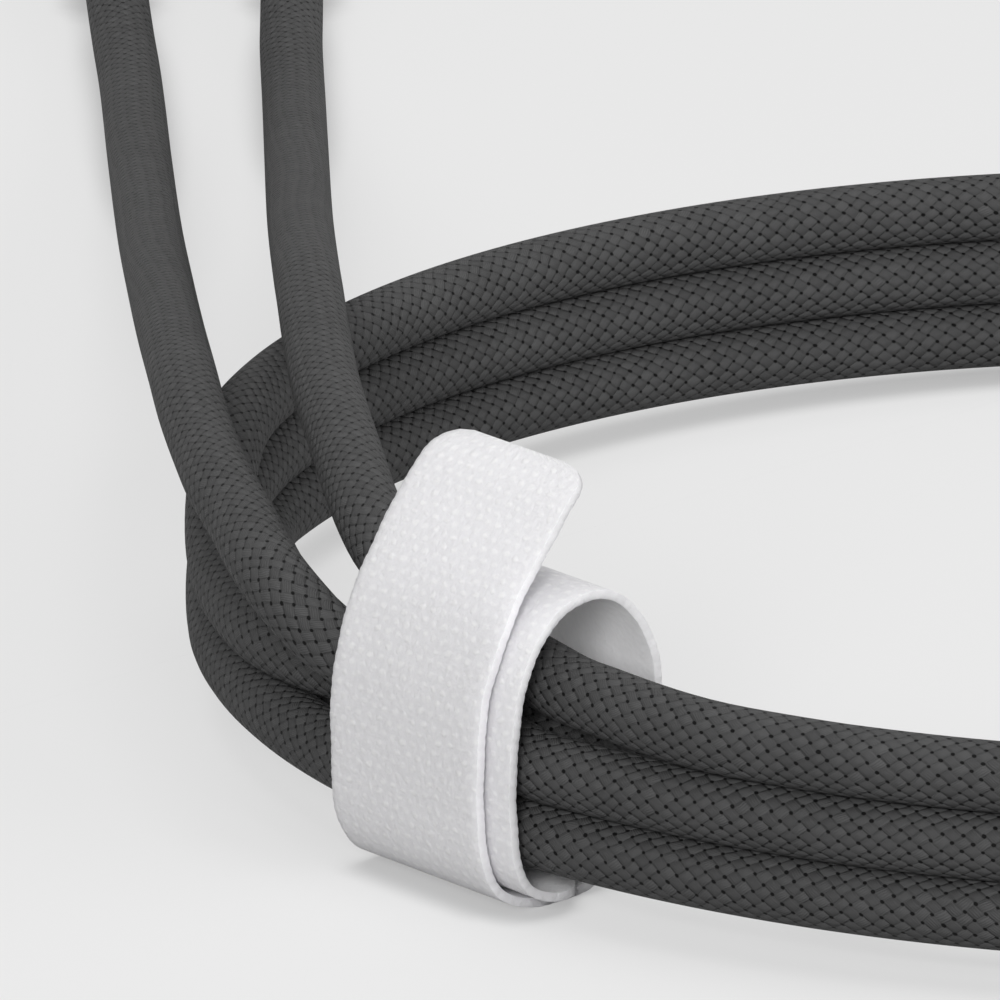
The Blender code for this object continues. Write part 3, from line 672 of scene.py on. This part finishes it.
def strap_finish():
    """Light loop fabric: staggered raised stitches outside, a plain brushed back inside, with
    painted light that colours the back lighter than the outside.
    """
    settings = bpy.context.scene.charging_strap
    m = Finish("strap_fabric")
    parts = m.node("ShaderNodeSeparateXYZ")
    m.put(parts.inputs[0], m.node("ShaderNodeUVMap", uv_map="weave").outputs[0])
    side = m.node("ShaderNodeAttribute", attribute_name="outer").outputs["Fac"]
    place = m.place()
    drift = m.math("SUBTRACT", m.noise(place, 620.0, 2.0), 0.5)
    rows = m.math("MULTIPLY", parts.outputs["X"], 1 / STITCH_ROW)
    rows = m.math("MULTIPLY_ADD", drift, 1.1, rows)
    row = m.math("FLOOR", rows)
    odd = m.math("FRACT", m.math("MULTIPLY", row, 0.5))
    columns = m.math("ADD", m.math("MULTIPLY", parts.outputs["Y"], 1 / STITCH_COLUMN), odd)
    columns = m.math("MULTIPLY_ADD", drift, 0.9, columns)
    lot = m.node("ShaderNodeCombineXYZ")
    m.put(lot.inputs["X"], row)
    m.put(lot.inputs["Y"], m.math("FLOOR", columns))
    chance = m.node("ShaderNodeTexWhiteNoise")
    m.put(chance.inputs["Vector"], lot.outputs[0])
    up = m.math("MULTIPLY", m.math("SUBTRACT", m.math("FRACT", rows), 0.5), 0.72)
    out = m.math("MULTIPLY", m.math("SUBTRACT", m.math("FRACT", columns), 0.5), 0.66)
    apart = m.math("SQRT", m.math("ADD", m.math("POWER", up, 2.0), m.math("POWER", out, 2.0)))
    knot = m.math("SUBTRACT", 1.0, m.step(apart, *STITCH_SIZE))
    knot = m.math("MULTIPLY", knot, m.math("MULTIPLY_ADD", chance.outputs[0], 0.5, 0.5))
    knot = m.math("MULTIPLY", knot, m.math("GREATER_THAN", side, 0.75))
    streak = m.node("ShaderNodeCombineXYZ")
    m.put(streak.inputs["X"], m.math("MULTIPLY", parts.outputs["X"], 1500.0))
    m.put(streak.inputs["Y"], m.math("MULTIPLY", parts.outputs["Y"], 3600.0))
    fibre = m.noise(streak.outputs[0], 1.0, 3.0, 0.6)
    crumple = m.noise(place, 1900.0, 2.0, 0.6)
    height = m.math("MULTIPLY_ADD", fibre, 0.9, m.math("MULTIPLY", knot, 0.7))
    height = m.math("MULTIPLY_ADD", crumple, 2.0, height)
    m.bump(height, 0.6, CLOTH_DEPTH)
    color = settings.color
    cloth = m.colors(fibre, shade(color, 0.90), shade(color, 1.06))
    cloth = m.colors(m.math("MULTIPLY", knot, 0.7), cloth, STITCH_COLOR)
    # Painted light: the inner side is coloured lighter than the outside, standing in for the light
    # that reaches into the loop.
    back = m.colors(fibre, shade(color, 1.05), shade(color, 1.16))
    m.look(base_color=m.colors(side, back, cloth), roughness=0.9)
    m.shader.inputs["Specular IOR Level"].default_value = 0.15
    m.shader.inputs["Sheen Weight"].default_value = 0.1
    m.shader.inputs["Sheen Roughness"].default_value = 0.5
    m.shader.inputs["Subsurface Weight"].default_value = 0.7
    m.shader.inputs["Subsurface Radius"].default_value = (1, 1, 1)
    m.shader.inputs["Subsurface Scale"].default_value = 2.5 * MM
    return m.material


def plastic_finish(name, color, roughness, grain=5200.0, depth=0.012):
    """Moulded plastic or rubber with a fine spark-eroded grain."""
    m = Finish(name)
    place = m.place()
    fine = m.noise(place, grain, 2.0)
    broad = m.noise(place, 140.0, 3.0)
    m.bump(fine, 0.35, depth * MM)
    tone = m.colors(broad, shade(color, 0.9), shade(color, 1.12))
    spread = m.math("MULTIPLY_ADD", broad, 0.12, roughness - 0.06)
    m.look(base_color=tone, roughness=spread)
    m.shader.inputs["Specular IOR Level"].default_value = 0.4
    return m.material


def metal_finish(name, color, roughness):
    """Drawn or rolled metal with fine lines and a little wear."""
    m = Finish(name)
    place = m.place()
    stretch = m.node("ShaderNodeMapping")
    m.put(stretch.inputs["Vector"], place)
    stretch.inputs["Scale"].default_value = (1.0, 0.06, 1.0)
    drawn = m.noise(stretch.outputs[0], DRAWN_LINES, 3.0, 0.6)
    worn = m.noise(place, 320.0, 3.0)
    m.bump(drawn, 0.12, METAL_DEPTH)
    m.look(
        base_color=m.colors(worn, shade(color, 0.86), shade(color, 1.06)),
        roughness=m.math("MULTIPLY_ADD", drawn, 0.16, roughness - 0.08),
        metallic=1.0,
    )
    return m.material


def board_finish():
    """Green solder mask over faint copper tracks."""
    m = Finish("circuit_board")
    place = m.place()
    cell = m.node("ShaderNodeTexVoronoi", feature="DISTANCE_TO_EDGE")
    m.put(cell.inputs["Vector"], place)
    cell.inputs["Scale"].default_value = 900.0
    track = m.math("SUBTRACT", 1.0, m.step(cell.outputs["Distance"], 0.05, 0.12))
    m.bump(track, 0.3, METAL_DEPTH)
    m.look(
        base_color=m.colors(track, (0.02, 0.11, 0.045, 1), (0.05, 0.2, 0.08, 1)),
        roughness=0.38,
    )
    return m.material


# Pieces


def tube_mesh(name, line, radius, sides):
    """A closed round tube along a line, mapped in turns round it and metres along it."""
    form = bmesh.new()
    braid = form.loops.layers.uv.new("braid")
    ahead = np.gradient(line, axis=0)
    ahead /= np.linalg.norm(ahead, axis=1)[:, None]
    across = np.cross([0, 0, 1.0], ahead)
    across /= np.linalg.norm(across, axis=1)[:, None]
    up = np.cross(ahead, across)
    along = run_along(line)
    slip = BRAID_TWIST * along / 0.3
    for high, pace, lag in BRAID_WANDER:
        slip = slip + high * np.sin(along * pace + lag)
    rings = []
    for center, side, top in zip(line, across, up):
        ring = []
        for index in range(sides):
            turn = 2 * math.pi * index / sides
            outwards = side * math.cos(turn) + top * math.sin(turn)
            ring.append(form.verts.new(center + radius * outwards))
        rings.append(ring)
    for row in range(len(rings) - 1):
        for index in range(sides):
            after = (index + 1) % sides
            corners = (
                (rings[row][index], index, row),
                (rings[row][after], index + 1, row),
                (rings[row + 1][after], index + 1, row + 1),
                (rings[row + 1][index], index, row + 1),
            )
            face = form.faces.new([corner[0] for corner in corners])
            face.smooth = True
            for loop, (_, turn, place) in zip(face.loops, corners):
                loop[braid].uv = (turn / sides + slip[place], along[place])
    form.faces.new(rings[0])
    form.faces.new(rings[-1][::-1])
    bmesh.ops.recalc_face_normals(form, faces=form.faces)
    mesh = bpy.data.meshes.new(name)
    form.to_mesh(mesh)
    form.free()
    piece = bpy.data.objects.new(name, mesh)
    bpy.context.scene.collection.objects.link(piece)
    return piece


class CABLE_OT_cable(bpy.types.Operator):
    """Lay the braided cable from plug to plug through the ring"""

    bl_idname = "charging_cable.cable"
    bl_label = "Cable"

    def execute(self, context):
        settings = context.scene.charging_cable
        line = cable_line(LINE_STEP)
        cable = tube_mesh("braided_cable", line, settings.diameter / 2, TUBE_SIDES)
        dress(cable, braid_finish())
        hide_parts("cable_coil", "cable_end_a", "cable_end_b")
        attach(cable, "cable")
        return {"FINISHED"}


def strap_frame():
    angle = STRAP_ANGLE
    radius = bpy.context.scene.charging_cable.ring_radius
    place = RING_CENTER + Vector((math.cos(angle), math.sin(angle), 0)) * radius
    return Matrix.Translation(place) @ Matrix.Rotation(angle, 4, "Z")


class CABLE_OT_strap(bpy.types.Operator):
    """Wrap the hook-and-loop strap twice round the bundle and raise its tail"""

    bl_idname = "charging_cable.strap"
    bl_label = "Strap"

    def execute(self, context):
        settings = context.scene.charging_strap
        line = even_line(STRAP_ROUTE, STRAP_STEP)
        along = run_along(line)
        rows = len(line)
        deselect()
        bpy.ops.mesh.primitive_grid_add(
            x_subdivisions=rows - 1, y_subdivisions=STRAP_COLUMNS, size=1
        )
        strap = name_new("strap_wrap")
        strap.data.uv_layers[0].name = "weave"
        corner = settings.corner / MM
        for vertex in strap.data.vertices:
            row = round((vertex.co.x + 0.5) * (rows - 1))
            to_end = min(along[row], along[-1] - along[row])
            half = settings.width / MM / 2
            if to_end < corner:
                half -= corner - math.sqrt(corner**2 - (corner - to_end) ** 2)
            share = ease(along[row] / along[-1], STRAP_DRIFT_FROM, STRAP_DRIFT_TO)
            drift = STRAP_SIDE_SHIFT - STRAP_DRIFT * share
            wave = sum(high * math.sin(along[row] * pace + lag) for high, pace, lag in EDGE_WAVES)
            wave += EDGE_SCALLOP * abs(math.sin(along[row] * math.pi * MM / STITCH_ROW))
            across = drift + vertex.co.y * 2 * (half + wave)
            vertex.co = Vector((line[row][0], across, line[row][1])) * MM
        weave = strap.data.uv_layers["weave"].data
        for loop in strap.data.loops:
            u, v = weave[loop.index].uv
            weave[loop.index].uv = (u * along[-1] * MM, (v - 0.5) * settings.width)
        self.thicken(strap, settings, line)
        settle(strap, strap_frame())
        seam = self.row_point(line, STRAP_SEAM_POINT)
        tail = self.cut_tail(strap, seam)
        material = strap_finish()
        for piece in (strap, tail):
            smooth_shade(piece, 50)
            dress(piece, material)
        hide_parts("strap_loop")
        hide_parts("strap_tail")
        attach(strap, "cable")
        hinge = self.world_point(STRAP_ROUTE[STRAP_HINGE_POINT])
        ahead = self.world_point(STRAP_ROUTE[STRAP_HINGE_POINT + 1]) - hinge
        ahead.normalize()
        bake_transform(tail)
        return {"FINISHED"}

    def world_point(self, place):
        return strap_frame() @ (Vector((place[0], 0, place[1])) * MM)

    def row_point(self, line, index):
        """The row of the fine line that lies nearest to a point of the route."""
        return int(np.argmin(np.linalg.norm(line - np.array(STRAP_ROUTE[index]), axis=1)))

    def thicken(self, strap, settings, line):
        """Give the sheet its thickness and mark its outer side for the fabric."""
        mesh = strap.data
        mesh.attributes.new("row", "INT", "POINT")
        rows = [index % len(line) for index in range(len(mesh.vertices))]
        mesh.attributes["row"].data.foreach_set("value", rows)
        apply_modifier(
            strap, "SOLIDIFY", thickness=settings.thickness, offset=0, use_even_offset=True
        )
        ahead = np.gradient(line, axis=0)
        ahead /= np.linalg.norm(ahead, axis=1)[:, None]
        row_of = [item.value for item in mesh.attributes["row"].data]
        outer = mesh.attributes.new("outer", "FLOAT", "FACE")
        for face in mesh.polygons:
            step = ahead[row_of[face.vertices[0]]]
            side = face.normal.x * step[1] - face.normal.z * step[0]
            outer.data[face.index].value = 0.5 + 0.5 * round(side)

    def cut_tail(self, strap, seam):
        """Split the strap under the bundle, so that the outer layer and the tail are a piece of
        their own.
        """
        mesh = strap.data
        row_of = [item.value for item in mesh.attributes["row"].data]
        clear_selection(strap, "FACE")
        bpy.ops.object.mode_set(mode="OBJECT")
        for face in mesh.polygons:
            if all(row_of[vertex] >= seam for vertex in face.vertices):
                face.select = True
        bpy.ops.object.mode_set(mode="EDIT")
        bpy.ops.mesh.separate(type="SELECTED")
        bpy.ops.object.mode_set(mode="OBJECT")
        tail = [piece for piece in bpy.context.selected_objects if piece != strap][0]
        tail.name = "strap_face"
        tail.data.name = "strap_face"
        for piece in (strap, tail):
            clear_selection(piece, "EDGE")
            bpy.ops.mesh.select_non_manifold()
            bpy.ops.mesh.edge_face_add()
            bpy.ops.object.mode_set(mode="OBJECT")
        return tail


def box(name, x0, x1, width, height):
    """A block centred on the plug's axis, as a start for a shaped piece."""
    deselect()
    bpy.ops.mesh.primitive_cube_add(size=1, location=((x0 + x1) / 2 * MM, 0, 0))
    piece = name_new(name)
    piece.scale = ((x1 - x0) * MM, width * MM, height * MM)
    bpy.ops.object.transform_apply(location=True, rotation=True, scale=True)
    return piece


def long_edges(piece, radius, segments):
    """Round the four edges that run along the plug."""
    clear_selection(piece, "EDGE")
    bpy.ops.object.mode_set(mode="OBJECT")
    points = piece.data.vertices
    for edge in piece.data.edges:
        start, end = (points[index].co for index in edge.vertices)
        edge.select = abs(start.x - end.x) > 0.1 * MM
    bpy.ops.object.mode_set(mode="EDIT")
    bpy.ops.mesh.bevel(offset=radius * MM, segments=segments, clamp_overlap=True)
    bpy.ops.object.mode_set(mode="OBJECT")


def soften_edges(piece, width, segments):
    """Round every sharp edge a little."""
    apply_modifier(
        piece,
        "BEVEL",
        width=width * MM,
        segments=segments,
        limit_method="ANGLE",
        angle_limit=SHARP,
    )


def drop_ends(piece):
    """Take away the two flat ends that face along the plug."""
    clear_selection(piece, "FACE")
    bpy.ops.object.mode_set(mode="OBJECT")
    for face in piece.data.polygons:
        face.select = abs(face.normal.x) > 0.9
    bpy.ops.object.mode_set(mode="EDIT")
    bpy.ops.mesh.delete(type="FACE")
    bpy.ops.object.mode_set(mode="OBJECT")


def turned(name, profile, steps):
    """A ring turned about the plug's axis; its profile is closed and in millimetres."""
    deselect()
    bpy.ops.mesh.primitive_circle_add(vertices=len(profile), radius=MM)
    piece = name_new(name)
    for vertex, (along, out) in zip(piece.data.vertices, profile):
        vertex.co = Vector((along, 0, out)) * MM
    pick(piece)
    bpy.ops.object.mode_set(mode="EDIT")
    bpy.ops.mesh.select_all(action="SELECT")
    bpy.ops.mesh.spin(steps=steps, angle=2 * math.pi, center=(0, 0, 0), axis=(1, 0, 0))
    bpy.ops.object.mode_set(mode="OBJECT")
    tidy_mesh(piece)
    return piece


def take_out(body, tool):
    """Cut the tool's shape out of the body and remove the tool."""
    apply_modifier(body, "BOOLEAN", operation="DIFFERENCE", solver="EXACT", object=tool)
    data = tool.data
    bpy.data.objects.remove(tool)
    bpy.data.meshes.remove(data)


class CABLE_OT_housings(bpy.types.Operator):
    """Mould the two plug housings with their mouth and hall"""

    bl_idname = "charging_cable.housings"
    bl_label = "Plug housings"

    def execute(self, context):
        settings = context.scene.charging_plug
        material = plastic_finish("housing_plastic", settings.color, 0.42)
        for name in "ab":
            piece = self.housing("housing_" + name, settings)
            settle(piece, plug_matrix(name))
            smooth_shade(piece)
            dress(piece, material)
            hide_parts("plug_" + name + "_housing")
            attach(piece, "cable")
        return {"FINISHED"}

    def housing(self, name, settings):
        rear = settings.relief_length / MM + PLUG_GAP
        front = rear + settings.length / MM
        width = settings.width / MM
        height = settings.height / MM
        body = box(name, rear, front, width, height)
        long_edges(body, HOUSING_ROUND, 8)
        soften_edges(body, HOUSING_EDGE, 4)
        walls = 2 * HALL_WALL
        hall = box("hall", rear + HALL_REAR, front - 1, width - walls, height - walls)
        take_out(body, hall)
        mouth = box("mouth", front - 4, front + 1, MOUTH_WIDTH, MOUTH_HEIGHT)
        long_edges(mouth, MOUTH_ROUND, 8)
        take_out(body, mouth)
        for start, end, radius in REAR_BORES:
            deselect()
            middle = rear + (start + end) / 2
            bpy.ops.mesh.primitive_cylinder_add(
                vertices=32,
                radius=radius * MM,
                depth=(end - start) * MM,
                location=(middle * MM, 0, 0),
                rotation=(0, math.pi / 2, 0),
            )
            take_out(body, name_new("bore"))
        return body


class CABLE_OT_reliefs(bpy.types.Operator):
    """Turn the two grooved strain reliefs"""

    bl_idname = "charging_cable.reliefs"
    bl_label = "Strain reliefs"

    def execute(self, context):
        length = context.scene.charging_plug.relief_length / MM
        material = plastic_finish("relief_rubber", (0.032, 0.032, 0.034), 0.6, 4200.0, 0.02)
        for name in "ab":
            piece = turned("strain_relief_" + name, self.profile(length), 64)
            settle(piece, plug_matrix(name))
            smooth_shade(piece, 30)
            dress(piece, material)
            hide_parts("plug_" + name + "_strain_relief")
            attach(piece, "cable")
        return {"FINISHED"}

    def profile(self, length):
        """From the rear bore out over the grooves to the housing and back through the bore."""
        rear = RELIEF_REAR_RADIUS
        slope = RELIEF_FLARE / length
        points = [(0.0, RELIEF_MOUTH), (0.0, rear - RELIEF_ROUND)]
        for turn in (30, 60, 90):
            angle = math.radians(turn)
            along = RELIEF_ROUND - RELIEF_ROUND * math.cos(angle)
            points.append((along, rear - RELIEF_ROUND + RELIEF_ROUND * math.sin(angle)))
        far_side = tuple((GROOVE_LENGTH - along, deep) for along, deep in GROOVE_SIDE[::-1])
        for start in GROOVE_PLACES:
            for along, deep in GROOVE_SIDE + far_side:
                points.append((start + along, rear + slope * (start + along) - deep))
        points += [(length - 0.15, rear + RELIEF_FLARE), (length, rear + 0.18)]
        return points + [(length, RELIEF_BORE), (1.5, RELIEF_BORE), (1.2, RELIEF_MOUTH)]


class CABLE_OT_shells(bpy.types.Operator):
    """Draw the two metal plug shells"""

    bl_idname = "charging_cable.shells"
    bl_label = "Plug shells"

    def execute(self, context):
        settings = context.scene.charging_plug
        front = (settings.relief_length + settings.length) / MM + PLUG_GAP + SHELL_EXPOSED
        material = metal_finish("shell_steel", (0.62, 0.62, 0.63), 0.28)
        for name in "ab":
            piece = box("shell_" + name, front - SHELL_LENGTH, front, SHELL_WIDTH, SHELL_HEIGHT)
            long_edges(piece, SHELL_ROUND, 12)
            drop_ends(piece)
            apply_modifier(
                piece, "SOLIDIFY", thickness=SHELL_WALL * MM, offset=-1, use_even_offset=True
            )
            soften_edges(piece, SHELL_EDGE, 3)
            settle(piece, plug_matrix(name))
            smooth_shade(piece)
            dress(piece, material)
            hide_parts("plug_" + name + "_shell")
            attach(piece, "cable")
        return {"FINISHED"}


class CABLE_OT_inner_parts(bpy.types.Operator):
    """Give the parts inside the plugs their finishes"""

    bl_idname = "charging_cable.inner_parts"
    bl_label = "Inner parts"

    def execute(self, context):
        dark = plastic_finish("black_plastic", (0.02, 0.02, 0.021), 0.42)
        tin = metal_finish("shield_tin", (0.55, 0.55, 0.56), 0.38)
        steel = metal_finish("spring_steel", (0.6, 0.6, 0.61), 0.3)
        gold = metal_finish("contact_gold", (0.83, 0.6, 0.24), 0.24)
        finishes = {
            "insulator": dark,
            "chip": plastic_finish("chip_resin", (0.016, 0.016, 0.017), 0.55, 7000.0),
            "resistor": plastic_finish("resistor_ceramic", (0.03, 0.026, 0.024), 0.4, 7000.0),
            "contacts_upper": gold,
            "contacts_lower": gold,
            "latch": steel,
            "spring_upper": steel,
            "spring_lower": steel,
            "circuit_board": board_finish(),
            "shield_upper": tin,
            "shield_lower": tin,
            "crimp_ferrule": tin,
            "jacket_end": plastic_finish("jacket_vinyl", (0.05, 0.05, 0.05), 0.55),
            "wire_power": plastic_finish("wire_red", (0.5, 0.02, 0.02), 0.4),
            "wire_ground": plastic_finish("wire_black", (0.02, 0.02, 0.02), 0.4),
            "wire_data_plus": plastic_finish("wire_green", (0.03, 0.3, 0.06), 0.4),
            "wire_data_minus": plastic_finish("wire_white", (0.7, 0.7, 0.69), 0.4),
            "wire_control": plastic_finish("wire_blue", (0.03, 0.08, 0.4), 0.4),
        }
        for name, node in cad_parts.items():
            for word, material in finishes.items():
                if name.startswith("plug_") and name.endswith(word):
                    node.data.materials.clear()
                    node.data.materials.append(material)
        return {"FINISHED"}


def backdrop_share(tree):
    """1 for the rays that show the plain backdrop: the camera's, and those off gloss."""
    path = tree.nodes.new("ShaderNodeLightPath")
    share = path.outputs["Is Camera Ray"]
    for kind in ("Is Glossy Ray", "Is Transmission Ray"):
        either = tree.nodes.new("ShaderNodeMath")
        either.operation = "MAXIMUM"
        tree.links.new(share, either.inputs[0])
        tree.links.new(path.outputs[kind], either.inputs[1])
        share = either.outputs[0]
    return share


class CABLE_OT_stage(bpy.types.Operator):
    """Set up the floor, the soft light and the camera"""

    bl_idname = "charging_cable.stage"
    bl_label = "Stage"

    def execute(self, context):
        settings = context.scene.charging_stage
        self.floor(settings)
        self.world(context, settings)
        self.lamps()
        self.camera(context, settings)
        context.scene.view_settings.view_transform = "Standard"
        return {"FINISHED"}

    def floor(self, settings):
        deselect()
        bpy.ops.mesh.primitive_plane_add(size=30)
        floor = name_new("floor")
        m = Finish("floor_paper")
        m.look(base_color=shade((FLOOR_BOUNCE,) * 3, 1.0), roughness=1.0)
        m.shader.inputs["Specular IOR Level"].default_value = 0.0
        glow = m.node("ShaderNodeEmission")
        tone = settings.floor_tone
        glow.inputs["Color"].default_value = (tone, tone, tone, 1)
        # Painted shadow: the floor's glow is darkened where ambient occlusion finds the cable or
        # strap close by, as a contact shadow.
        hide = m.node("ShaderNodeAmbientOcclusion", samples=12)
        hide.inputs["Distance"].default_value = FLOOR_PAINTED_SHADOW_REACH
        outside_painted_shadow = m.step(hide.outputs["AO"], 0.3, 0.95)
        strength = m.math("MULTIPLY_ADD", outside_painted_shadow, FLOOR_PAINTED_SHADOW_DEPTH, FLOOR_GLOW)
        m.put(glow.inputs["Strength"], strength)
        light = m.node("ShaderNodeMixShader")
        share = backdrop_share(m.tree)
        soft = m.node("ShaderNodeBsdfDiffuse")
        soft.inputs["Color"].default_value = shade((FLOOR_LIT,) * 3, 1.0)
        seen = m.node("ShaderNodeAddShader")
        m.put(seen.inputs[0], glow.outputs[0])
        m.put(seen.inputs[1], soft.outputs[0])
        m.put(light.inputs[0], share)
        m.put(light.inputs[1], m.shader.outputs[0])
        m.put(light.inputs[2], seen.outputs[0])
        output = m.tree.nodes["Material Output"]
        m.put(output.inputs["Surface"], light.outputs[0])
        floor.data.materials.append(m.material)

    def world(self, context, settings):
        world = bpy.data.worlds.new("studio")
        context.scene.world = world
        world.use_nodes = True
        tree = world.node_tree
        shown = tree.nodes.new("ShaderNodeBackground")
        tone = settings.floor_tone
        shown.inputs["Color"].default_value = (tone, tone, tone, 1)
        lighting = tree.nodes["Background"]
        lighting.inputs["Color"].default_value = (1, 1, 1, 1)
        lighting.inputs["Strength"].default_value = SKY_STRENGTH
        choice = tree.nodes.new("ShaderNodeMixShader")
        tree.links.new(backdrop_share(tree), choice.inputs[0])
        tree.links.new(lighting.outputs[0], choice.inputs[1])
        tree.links.new(shown.outputs[0], choice.inputs[2])
        tree.links.new(choice.outputs[0], tree.nodes["World Output"].inputs["Surface"])

    def lamps(self):
        for name, place, size, power in LAMPS:
            deselect()
            bpy.ops.object.light_add(type="AREA", location=place)
            lamp = name_new(name)
            lamp.data.size = size
            lamp.data.energy = power
            aim = LAMP_AIM - Vector(place)
            lamp.rotation_euler = aim.to_track_quat("-Z", "Y").to_euler()

    def camera(self, context, settings):
        aim = RING_CENTER + CAMERA_AIM * MM
        tilt = settings.camera_elevation
        away = Vector((0, -math.cos(tilt), math.sin(tilt)))
        deselect()
        bpy.ops.object.camera_add(location=aim + away * settings.camera_distance)
        camera = name_new("camera")
        view = (-away).to_track_quat("-Z", "Y") @ Matrix.Rotation(ROLL, 3, "Z").to_quaternion()
        camera.rotation_euler = view.to_euler()
        camera.data.sensor_width = SENSOR
        camera.data.lens = SENSOR * ZOOM
        camera.data.clip_end = 20
        context.scene.camera = camera


class CABLE_PT_panel(bpy.types.Panel):
    """Sizes, colours and steps of the charging cable"""

    bl_idname = "CABLE_PT_panel"
    bl_label = "Charging Cable"
    bl_space_type = "VIEW_3D"
    bl_region_type = "UI"
    bl_category = "Charging Cable"

    def draw(self, context):
        layout = self.layout
        for group in SETTINGS:
            column = layout.column()
            for name in SETTINGS[group].__annotations__:
                column.prop(getattr(context.scene, group), name)
        for operator in STEPS:
            layout.operator(operator.bl_idname)


SETTINGS = {
    "charging_cable": CableSettings,
    "charging_strap": StrapSettings,
    "charging_plug": PlugSettings,
    "charging_stage": StageSettings,
}
STEPS = (
    CABLE_OT_stage,
    CABLE_OT_housings,
    CABLE_OT_reliefs,
    CABLE_OT_shells,
    CABLE_OT_cable,
    CABLE_OT_strap,
    CABLE_OT_inner_parts,
)


def register():
    for kind in (*SETTINGS.values(), *STEPS, CABLE_PT_panel):
        bpy.utils.register_class(kind)
    for name, kind in SETTINGS.items():
        setattr(bpy.types.Scene, name, PointerProperty(type=kind))


def unregister():
    for name in SETTINGS:
        delattr(bpy.types.Scene, name)
    for kind in (CABLE_PT_panel, *reversed(STEPS), *reversed(SETTINGS.values())):
        bpy.utils.unregister_class(kind)


def main():
    register()
    bpy.ops.charging_cable.stage()
    bpy.ops.charging_cable.housings()
    bpy.ops.charging_cable.reliefs()
    bpy.ops.charging_cable.shells()
    bpy.ops.charging_cable.cable()
    bpy.ops.charging_cable.strap()
    bpy.ops.charging_cable.inner_parts()


if __name__ == "__main__":
    main()
